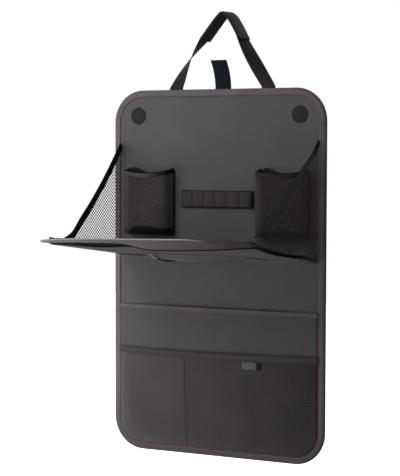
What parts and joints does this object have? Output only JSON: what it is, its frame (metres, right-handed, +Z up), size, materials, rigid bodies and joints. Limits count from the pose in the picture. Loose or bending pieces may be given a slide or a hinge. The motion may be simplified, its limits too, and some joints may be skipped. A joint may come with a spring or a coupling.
{
  "type": "car seat back organiser with fold-down tray",
  "caption": "Hanging cloth organiser for a seat back, with straps, a fold-down tray held by mesh gussets, bottle pockets, pen loops and flat pockets.",
  "frame": {"origin": "on the flat back face of the panel, on its centre line, half way up the panel", "axes": "+Z up as it hangs, +X across the panel, +Y out of the back towards the seat; the front and the open tray face -Y"},
  "size_m": [0.4, 0.2754, 0.756],
  "materials": {
    "panel_cloth": "matt charcoal woven polyester",
    "lining_cloth": "matt dark non-woven lining",
    "edge_tape": "matt grey tape with dusky pink stitching",
    "board": "plain sheet board, hidden inside the cloth",
    "dark_tape": "black elastic and ribbon",
    "mesh": "black open net",
    "hook_tape": "black hook-and-loop tape",
    "webbing": "black woven webbing",
    "elastic": "matt dark grey elastic",
    "label": "plain grey woven tag with nothing on it"
  },
  "bodies": {
    "panel": {"back_lining": "lining_cloth", "core_board": "board", "front_sheet": "panel_cloth", "edge_binding": "edge_tape", "panel_dot_left": "hook_tape", "panel_dot_right": "hook_tape", "pen_loops": "elastic", "middle_pocket": "panel_cloth", "middle_pocket_hem": "edge_tape", "mesh_pocket": "mesh", "mesh_pocket_hem": "dark_tape", "pocket_divider": "dark_tape", "woven_tag": "label", "tag_loop": "dark_tape", "cup_pocket_left": "mesh", "cup_pocket_right": "mesh", "cup_hem_left": "dark_tape", "cup_hem_right": "dark_tape", "hinge_strip": "panel_cloth", "gusset_mesh_left": "mesh", "gusset_mesh_right": "mesh", "gusset_edge_left": "dark_tape", "gusset_edge_right": "dark_tape", "strap_left": "webbing", "strap_right": "webbing", "strap_hook_patch": "hook_tape", "strap_loop_patch": "hook_tape", "centre_tab": "hook_tape"},
    "tray": {"tray_top_cover": "panel_cloth", "tray_board": "board", "flap_padding": "lining_cloth", "tray_under_cover": "panel_cloth", "tray_binding": "edge_tape", "tray_dot_left": "hook_tape", "tray_dot_right": "hook_tape", "under_pouch": "panel_cloth", "pouch_mouth_tape": "edge_tape"}
  },
  "joints": [
    {"name": "tray_fold", "type": "hinge", "parent": "panel", "child": "tray", "pos_m": [0, -0.0093, 0.031], "axis": [-1, 0, 0], "range_deg": [0, 83], "deforming": ["gusset_mesh_left", "gusset_mesh_right", "gusset_edge_left", "gusset_edge_right", "cup_pocket_left", "cup_pocket_right", "cup_hem_left", "cup_hem_right"]}
  ]
}
